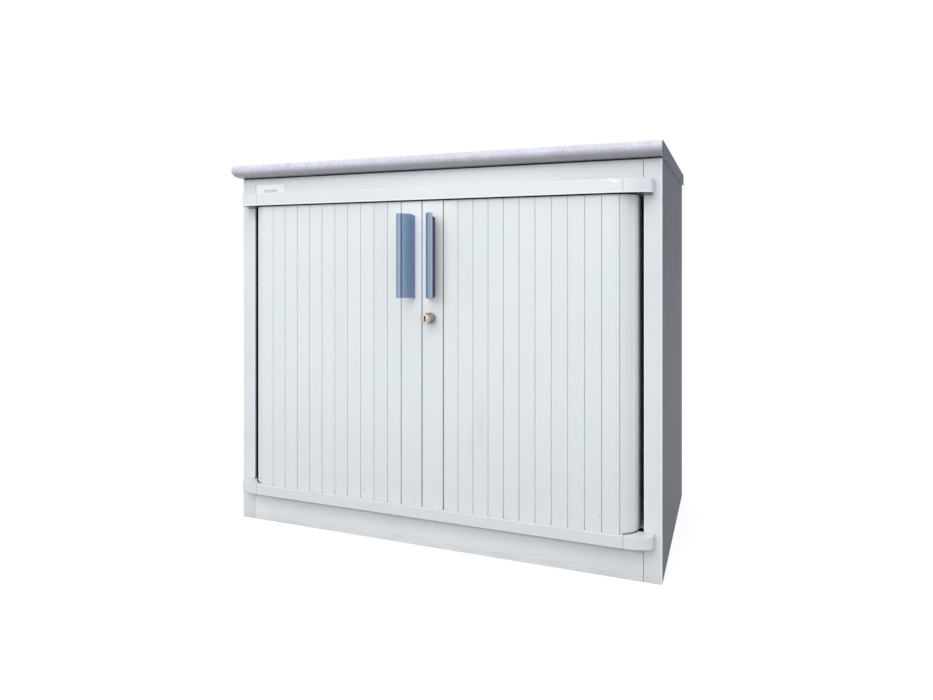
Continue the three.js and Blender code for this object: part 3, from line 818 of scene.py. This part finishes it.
def noseBlock(bm, start, end):
    # the round of the front edge is short above and longer below
    front, middle, steps = worktop["front"], worktop["noseAt"], worktop["noseSteps"]
    line = [(worktop["back"], worktop["low"]), (worktop["back"], worktop["high"])]
    for n in range(2 * steps + 1):
        angle = math.pi / 2 * (1 - n / steps)
        reach = worktop["noseAbove"] if angle > 0 else worktop["noseBelow"]
        rise = worktop["high"] - middle if angle > 0 else middle - worktop["low"]
        line.append((front + reach * (1 - math.cos(angle)), middle + rise * math.sin(angle)))
    drawn(bm, [(start, y, z) for y, z in line], (end - start, 0, 0))


def makeWorktop():
    reach = worktop["halfLength"] - worktop["band"]
    bm = bmesh.new()
    noseBlock(bm, -reach, reach)
    roundOff(bm, edgesAt(bm, y=worktop["back"]), worktop["edgeSoftening"])
    finishPiece("worktop_slab", bm, "worktop", "carcass", ["worktop"])
    for name, side in sides.items():
        bm = bmesh.new()
        noseBlock(bm, reach, worktop["halfLength"])
        roundOff(bm, edgesAt(bm, x=worktop["halfLength"]), worktop["edgeSoftening"])
        toSide(bm, side)
        finishPiece(f"worktop_{name}_end_band", bm, "side", "carcass")


makeWorktop()
print("worktop made")

# Side panels, posts, fascia and plinth
boards = {
    "sideSoftening": 0.6, "frontSoftening": 0.5, "innerSoftening": 0.4, "postRound": 1.4,
    "postSteps": 4,
}
post = {"inner": 386, "outer": 415, "lip": 2, "leg": 396.7, "depth": 11, "top": 689.5}


def makePost(name, side):
    inner, outer, leg = post["inner"], post["outer"], post["leg"]
    corners = [(inner, 0), (outer, 0), (outer, post["lip"]), (leg, post["lip"])]
    corners += [(leg, post["depth"]), (inner, post["depth"])]
    bm = bmesh.new()
    drawn(bm, [(x, y, 0) for x, y in corners], (0, 0, post["top"]))
    fronts = edgesAt(bm, x=inner, y=0) + edgesAt(bm, x=outer, y=0)
    roundOff(bm, fronts, boards["postRound"], boards["postSteps"])
    toSide(bm, side)
    finishPiece(f"{name}_post_profile", bm, "board", "carcass", [f"{name}_front_post"])


def softenedBoard(name, node, paint, softening):
    bm = cadCopy(node)
    soften(bm, softening)
    finishPiece(name, bm, paint, bodyOf[node], [node])


def makeCarcass():
    outside, front = boards["sideSoftening"], boards["frontSoftening"]
    inside = boards["innerSoftening"]
    for name, side in sides.items():
        softenedBoard(f"{name}_side_board", f"{name}_side_panel", "side", outside)
        makePost(name, side)
        softenedBoard(f"{name}_liner_board", f"{name}_inner_liner", "liner", inside)
    softenedBoard("fascia_board", "top_fascia", "front", front)
    softenedBoard("plinth_front", "plinth_board", "plinth", front)
    softenedBoard("shelf_board", "shelf", "board", front)
    softenedBoard("back_board", "back_panel", "board", inside)


makeCarcass()
print("carcass made")

# Track rails with their caps
rail = {"softening": 0.9, "steps": 3, "sharp": 50}


def makeRails():
    for level in ("bottom", "top"):
        pairs = [(f"{level}_track_rail", f"{level}_rail_profile")]
        for side in sides:
            pairs.append((f"{side}_{level}_rail_cap", f"{side}_{level}_cap_moulding"))
        for node, name in pairs:
            bm = cadCopy(node)
            soften(bm, rail["softening"], rail["steps"], rail["sharp"])
            finishPiece(name, bm, "rail", "carcass", [node])


# Near-black strips of painted shade: one under the top rail, one in each slot and one at each foot
topShadeStrip = {
    "turnX": 338, "turnY": 15, "radius": 40, "inner": 0.6, "outer": 3.4, "low": 631.3,
    "high": 632.9, "steps": 10, "endAngle": 1.45,
}
slotShadeStrip = {"inner": 385, "outer": 386, "front": 4.4, "back": 10.8, "low": 84, "high": 631}
footShadeStrip = {
    "turnX": 338, "turnY": 15, "inner": 40.15, "outer": 42.4, "startAngle": 0.42,
    "endAngle": 1.2, "steps": 12, "slotX": 385.8, "front": 0.2, "back": 13.5, "low": 82,
    "high": 82.5,
}


def arcPoints(strip, radius, start, end):
    x, y, steps = strip["turnX"], strip["turnY"], strip["steps"]
    angles = [start + (end - start) * n / steps for n in range(steps + 1)]
    return [(x + radius * math.sin(a), y - radius * math.cos(a)) for a in angles]


def stripOf(bm, strip, corners):
    drawn(bm, [(x, y, strip["low"]) for x, y in corners], (0, 0, strip["high"] - strip["low"]))


def makeTopShadeStrip():
    edges = []
    for offset in (topShadeStrip["inner"], topShadeStrip["outer"]):
        right = arcPoints(topShadeStrip, topShadeStrip["radius"] + offset, 0, topShadeStrip["endAngle"])
        edges.append([(-x, y) for x, y in reversed(right)] + right)
    bm = bmesh.new()
    stripOf(bm, topShadeStrip, edges[0] + edges[1][::-1])
    finishPiece("top_rail_shade_strip", bm, "paintedShade", "carcass")


def makeShadeStrips(name, side):
    bm = bmesh.new()
    low = (slotShadeStrip["inner"], slotShadeStrip["front"], slotShadeStrip["low"])
    slab(bm, low, (slotShadeStrip["outer"], slotShadeStrip["back"], slotShadeStrip["high"]))
    toSide(bm, side)
    finishPiece(f"{name}_slot_shade_strip", bm, "paintedShade", "carcass")
    bm = bmesh.new()
    shadeStrip, first, last = footShadeStrip, footShadeStrip["startAngle"], footShadeStrip["endAngle"]
    corners = arcPoints(shadeStrip, shadeStrip["outer"], first, last)
    corners += [(shadeStrip["slotX"], shadeStrip["front"]), (shadeStrip["slotX"], shadeStrip["back"])]
    corners += arcPoints(shadeStrip, shadeStrip["inner"], math.pi / 2, first)
    stripOf(bm, shadeStrip, corners)
    toSide(bm, side)
    finishPiece(f"{name}_foot_shade_strip", bm, "paintedShade", "carcass")


makeRails()
makeTopShadeStrip()
for name, side in sides.items():
    makeShadeStrips(name, side)
print("rails made")

# Curtain slats: a tongue on the outer edge, a slot in the inner one, fine grooves in front
slat = {
    "firstEdge": 42, "pitch": 28, "gap": 0.4, "count": 10, "front": -25, "back": -17,
    "low": 72, "high": 643, "frontRound": 0.5, "roundSteps": 3, "softening": 0.25,
    "sharp": 30, "tongueHalf": 1.2, "slotHalf": 1.6, "reach": 3,
    "grooveHalf": 0.45, "grooveDepth": 0.14, "grooveShares": (0.25, 0.5, 0.75),
    "travel": 278.5, "storedRoom": 280,
}


def slatCorners(start, end, grooves):
    front, back, middle = slat["front"], slat["back"], (slat["front"] + slat["back"]) / 2
    corners = [(start, front)]
    for share in grooves:
        x = start + (end - start) * share
        half = slat["grooveHalf"]
        corners += [(x - half, front), (x, front + slat["grooveDepth"]), (x + half, front)]
    corners += [(end, front)]
    tongue, reach = slat["tongueHalf"], slat["reach"]
    corners += [(end, middle - tongue), (end + reach, middle - tongue)]
    corners += [(end + reach, middle + tongue), (end, middle + tongue), (end, back)]
    slot = slat["slotHalf"]
    corners += [(start, back), (start, middle + slot), (start + reach, middle + slot)]
    return corners + [(start + reach, middle - slot), (start, middle - slot)]


def makeFlatSlat(name, side, number):
    start = slat["firstEdge"] + (number - 1) * slat["pitch"]
    end = start + slat["pitch"] - slat["gap"]
    bm = bmesh.new()
    corners = slatCorners(start, end, slat["grooveShares"])
    drawn(bm, [(x, y, slat["low"]) for x, y in corners], (0, 0, slat["high"] - slat["low"]))
    fronts = edgesAt(bm, x=start, y=slat["front"]) + edgesAt(bm, x=end, y=slat["front"])
    roundOff(bm, fronts, slat["frontRound"], slat["roundSteps"])
    toSide(bm, side)
    node = f"{name}_slat_{number:02d}"
    piece = finishPiece(f"{node}_profile", bm, "slat", bodyOf[node], [node])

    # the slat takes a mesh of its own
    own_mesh(piece)


def softenedSlat(node):
    bm = cadCopy(node)
    soften(bm, slat["softening"], angle=slat["sharp"])
    finishPiece(f"{node}_profile", bm, "slat", bodyOf[node], [node])


for name, side in sides.items():
    for number in range(1, slat["count"] + 1):
        makeFlatSlat(name, side, number)
    for part in ("corner_slat_1", "corner_slat_2", "corner_slat_3", "tail_slat", "lead_stile"):
        softenedSlat(f"{name}_{part}")
print("curtains made")

# Pulls: a curved face towards the middle, a stepped lip and a finger recess behind it
handle = {
    "low": 458, "length": 150, "baseY": -25.3, "inner": 13.6, "width": 12.4, "reach": 34.7,
    "lean": 10.8, "facePull": (0.12, 0.72), "stepDepth": 1.8, "stepWidth": 1.9,
    "lipWidth": 8.4, "lipRound": 1.2, "lipThickness": 4.2, "recessPull": 16, "endRound": 1.6,
    "roundSteps": 4, "groove": 0.7, "grooveShare": 0.4, "endReach": 4, "topFaceDrop": 2,
    "topRecessDrop": 7, "bottomFaceDip": 3, "bottomRecessLift": 1.2, "steps": 12,
}


def bend(start, pull, end, steps):
    # points on a curve that leaves start towards pull and arrives at end
    points = []
    for n in range(steps + 1):
        t = n / steps
        shares = [((1 - t) ** 2, start), (2 * t * (1 - t), pull), (t ** 2, end)]
        points.append(tuple(sum(share * point[k] for share, point in shares) for k in (0, 1)))
    return points


def handleCorners():
    inner, base, reach = handle["inner"], handle["baseY"], handle["reach"]
    outer, turn, steps = inner + handle["width"], handle["lipRound"], handle["steps"]
    lipInner = inner + handle["lean"]
    faceY = base - reach + handle["stepDepth"]
    lipStart = lipInner + handle["stepWidth"]
    lipOuter = lipStart + handle["lipWidth"]
    lipFront, lipBack = base - reach, base - reach + handle["lipThickness"]

    across, forward = handle["facePull"]
    facePull = (inner + handle["lean"] * across, base - (reach - handle["stepDepth"]) * forward)
    face = bend((inner, base), facePull, (lipInner, faceY), steps)
    groove = handle["groove"]
    step = [(lipInner + groove * handle["grooveShare"], faceY + groove)]
    step += [((lipInner + lipStart) / 2, faceY), (lipStart, lipFront)]
    turnStart, turnEnd = (lipOuter - turn, lipFront), (lipOuter, lipFront + turn)
    lipEdge = bend(turnStart, (lipOuter, lipFront), turnEnd, handle["roundSteps"])
    recessPull = ((lipOuter + outer) / 2 - handle["recessPull"], (base + lipBack) / 2)
    recess = bend((lipOuter, lipBack), recessPull, (outer, base), steps)
    return face + step + lipEdge + recess


def endShift(x, y, upper):
    # how far the end of a pull moves up or down, by how deep and on which side the point lies
    back = (y - (handle["baseY"] - handle["reach"])) / handle["reach"]
    lipMiddle = handle["inner"] + handle["lean"] + handle["stepWidth"] + handle["lipWidth"] / 2
    baseMiddle = handle["inner"] + handle["width"] / 2
    middle = lipMiddle + (baseMiddle - lipMiddle) * back
    recess = min(max(0.5 + (x - middle) / handle["width"], 0), 1)
    onFace, inRecess = back ** 4 * (1 - recess), back ** 2 * recess
    if upper:
        return -handle["topFaceDrop"] * onFace - handle["topRecessDrop"] * inRecess
    return handle["bottomRecessLift"] * inRecess - handle["bottomFaceDip"] * onFace


def makeHandle(name, side):
    low, high = handle["low"], handle["low"] + handle["length"]
    bm = bmesh.new()
    drawn(bm, [(x, y, low) for x, y in handleCorners()], (0, 0, high - low))
    rims = edgesAt(bm, z=low) + edgesAt(bm, z=high)
    roundOff(bm, rims, handle["endRound"], handle["roundSteps"])
    for vert in bm.verts:
        x, y, z = vert.co
        if z > high - handle["endReach"] or z < low + handle["endReach"]:
            vert.co.z += endShift(x, y, z > high - handle["endReach"])
    toSide(bm, side)
    finishPiece(f"{name}_pull_moulding", bm, "handle", f"{name}_door", [f"{name}_handle"])


for name, side in sides.items():
    makeHandle(name, side)
print("pulls made")

# Lock: barrel with a turned groove near its face, and a ridged collar
lock = {
    "x": 18, "z": 422, "face": -53.5, "back": -12.5, "bore": 5.5, "boreEdge": (0.5, 0.4),
    "radius": 8, "chamfer": 1, "faceEdge": 0.3,
    "grooveLevels": (3.2, 3.5, 4.1, 4.4), "grooveDepth": 0.35, "collarFront": -40.3,
    "collarBack": -25.3, "collarRadius": 9.4, "collarBore": 8.3, "ridges": 28,
    "ridgeDepth": 0.5, "collarChamfer": 0.9, "turns": 56, "barrelSharp": 30,
    "collarSharp": 20,
}


def makeBarrel():
    r, bore, face = lock["radius"], lock["bore"], lock["face"]
    chamfer, edge, (wide, deep) = lock["chamfer"], lock["faceEdge"], lock["boreEdge"]
    inner = r - lock["grooveDepth"]
    levels = [face + level for level in lock["grooveLevels"]]
    line = [(bore, face + deep), (bore + wide, face), (r - chamfer, face), (r - edge, face + edge)]
    line += [(r, face + chamfer), *zip((r, inner, inner, r), levels)]
    line += [(r, lock["back"]), (bore, lock["back"])]
    bm = bmesh.new()
    verts = [bm.verts.new((lock["x"] + radius, y, lock["z"])) for radius, y in line]
    edges = [bm.edges.new((a, b)) for a, b in zip(verts, verts[1:] + verts[:1])]
    bmesh.ops.spin(
        bm, geom=verts + edges, cent=(lock["x"], 0, lock["z"]), axis=(0, 1, 0),
        angle=math.tau, steps=lock["turns"], use_merge=True,
    )
    barrel = ["lock_barrel"]
    finishPiece("lock_barrel_turned", bm, "nickel", "right_door", barrel, lock["barrelSharp"])


def ringLoop(bm, radius, y, segments):
    made = bmesh.ops.create_circle(bm, radius=radius, segments=segments, cap_ends=False)["verts"]
    for vert in made:
        vert.co = (lock["x"] + vert.co.x, y, lock["z"] + vert.co.y)
    return made


def makeCollar():
    bm = bmesh.new()
    segments = lock["ridges"] * 2
    front, back, chamfer = lock["collarFront"], lock["collarBack"], lock["collarChamfer"]
    levels = [(front, chamfer), (front + chamfer, 0), (back - chamfer, 0), (back, chamfer)]
    outer = []
    for y, shrink in levels:
        loop = ringLoop(bm, lock["collarRadius"] - shrink, y, segments)
        for vert in loop[::2]:
            share = 1 - lock["ridgeDepth"] / lock["collarRadius"]
            vert.co.x = lock["x"] + (vert.co.x - lock["x"]) * share
            vert.co.z = lock["z"] + (vert.co.z - lock["z"]) * share
        outer.append(loop)
    inner = [ringLoop(bm, lock["collarBore"], y, segments) for y in (back, front)]
    loops = outer + inner
    rims = [[edge for edge in bm.edges if set(edge.verts) <= set(loop)] for loop in loops]
    for first, second in zip(rims, rims[1:] + rims[:1]):
        bmesh.ops.bridge_loops(bm, edges=first + second)
    collar = ["lock_collar"]
    finishPiece("lock_collar_ring", bm, "collar", "right_door", collar, lock["collarSharp"])


# The plug turns in the barrel, and its hook catches the keeper on the other door
plug = {"softening": 0.15, "sharp": 50, "hookSoftening": 0.3}
keyway = {"half": 1.4, "tall": 4.4, "front": 0.55, "back": 2.2, "softening": 0.1}


def makePlug():
    bm = cadCopy("lock_plug")
    soften(bm, plug["softening"], angle=plug["sharp"])
    finishPiece("lock_plug_turned", bm, "nickel", "lock_core", ["lock_plug"])
    # a near-black block in the keyway, painted shade for the dark keyway
    bm = bmesh.new()
    x, y, z = lock["x"], lock["face"], lock["z"]
    low = (x - keyway["half"], y + keyway["front"], z - keyway["tall"])
    slab(bm, low, (x + keyway["half"], y + keyway["back"], z + keyway["tall"]))
    soften(bm, keyway["softening"])
    finishPiece("lock_keyway_shade_block", bm, "paintedShade", "lock_core")


def makeHookAndKeeper():
    for node in ("lock_hook", "lock_keeper"):
        bm = cadCopy(node)
        soften(bm, plug["hookSoftening"], angle=plug["sharp"])
        finishPiece(f"{node}_plate", bm, "zinc", bodyOf[node], [node])


makeBarrel()
makeCollar()
makePlug()
makeHookAndKeeper()
print("lock made")

# Asset label on the fascia, left bare
label = {"low": (-380.5, -0.16, 659.3), "high": (-315, 0, 677.4), "corner": 1.2, "steps": 3}


def makeLabel():
    bm = bmesh.new()
    slab(bm, label["low"], label["high"])
    ends = (label["low"], label["high"])
    corners = [edge for a in ends for b in ends for edge in edgesAt(bm, x=a[0], z=b[2])]
    roundOff(bm, corners, label["corner"], label["steps"])
    finishPiece("fascia_label", bm, "label", "carcass")


makeLabel()
print("label made")

# Nodes that keep their own shape take a finish
kept = {"base_panel": "board", "top_panel": "board"}
kept.update({f"{side}_{place}_shelf_pin": "zinc" for side in sides for place in ("front", "back")})


def finishKept():
    for node, paint in kept.items():
        keptObject = frame["nodes"][node]
        keptObject.data.materials.clear()
        keptObject.data.materials.append(paints[paint])


finishKept()
print("kept nodes finished,", len(kept))

# Floor and light: a pale floor and sky, one soft lamp from the front left and one from above
studio = {
    "white": (1, 1, 1, 1),
    "floorHalf": 30,
    "floorBounce": shade(178, 178, 180), "floorRough": 0.9,
    "floorLift": 0.72,
    "skyTop": (1.0, 1.0, 1.02, 1),
    "skyHorizon": (0.86, 0.87, 0.89, 1),
    "skyStrength": 0.9,
}
lamps = {
    "key_lamp": {
        "spot": (-0.4, -3.0, 1.9), "aim": (0, -0.2, 0.38),
        "size": 2.4, "power": 42, "colour": (1.0, 0.99, 0.97),
    },
    "top_lamp": {
        "spot": (0.3, -0.9, 2.6), "aim": (0, -0.1, 0.5),
        "size": 1.5, "power": 9, "colour": (0.97, 0.98, 1.0),
    },
}


def addFloor():
    bm = bmesh.new()
    bmesh.ops.create_grid(bm, x_segments=1, y_segments=1, size=studio["floorHalf"])
    mesh = bpy.data.meshes.new("studio_floor")
    bm.to_mesh(mesh)
    bm.free()
    mesh.materials.append(bpy.data.materials.new("studio floor"))
    paint = Paint(mesh.materials[0])
    paint.set({"Base Color": studio["floorBounce"], "Roughness": studio["floorRough"]})
    paint.set({"Specular IOR Level": 0.0, "Emission Color": studio["white"]})
    paint.set({"Emission Strength": paint.seen() * studio["floorLift"]})
    floor = bpy.data.objects.new("studio_floor", mesh)
    scene.collection.objects.link(floor)


def addSky():
    # paler towards the top for the light, plain white where the camera sees it
    scene.world = bpy.data.worlds.new("studio")
    paint = Paint(scene.world, shader="Background")
    height = paint.axes(paint.spot.other("Generated"))[2]
    tone = paint.mixed(height, studio["skyHorizon"], studio["skyTop"])
    paint.set({"Color": tone, "Strength": studio["skyStrength"]})
    sky = Wire(paint, paint.shader.outputs[0])
    white = paint.add("ShaderNodeBackground", {}, {"Color": studio["white"]})
    shown = paint.add("ShaderNodeMixShader", {}, {0: paint.seen(), 1: sky, 2: white})
    paint.feed(paint.tree.nodes["World Output"].inputs["Surface"], shown)


def addLamp(name, lamp):
    data = bpy.data.lights.new(name, "AREA")
    data.shape = "SQUARE"
    data.size = lamp["size"]
    data.energy = lamp["power"]
    data.color = lamp["colour"]
    thing = bpy.data.objects.new(name, data)
    thing.location = lamp["spot"]
    toward = Vector(lamp["aim"]) - Vector(lamp["spot"])
    thing.rotation_euler = toward.to_track_quat("-Z", "Y").to_euler()
    scene.collection.objects.link(thing)


addFloor()
addSky()
for name, lamp in lamps.items():
    addLamp(name, lamp)
print("studio lit")
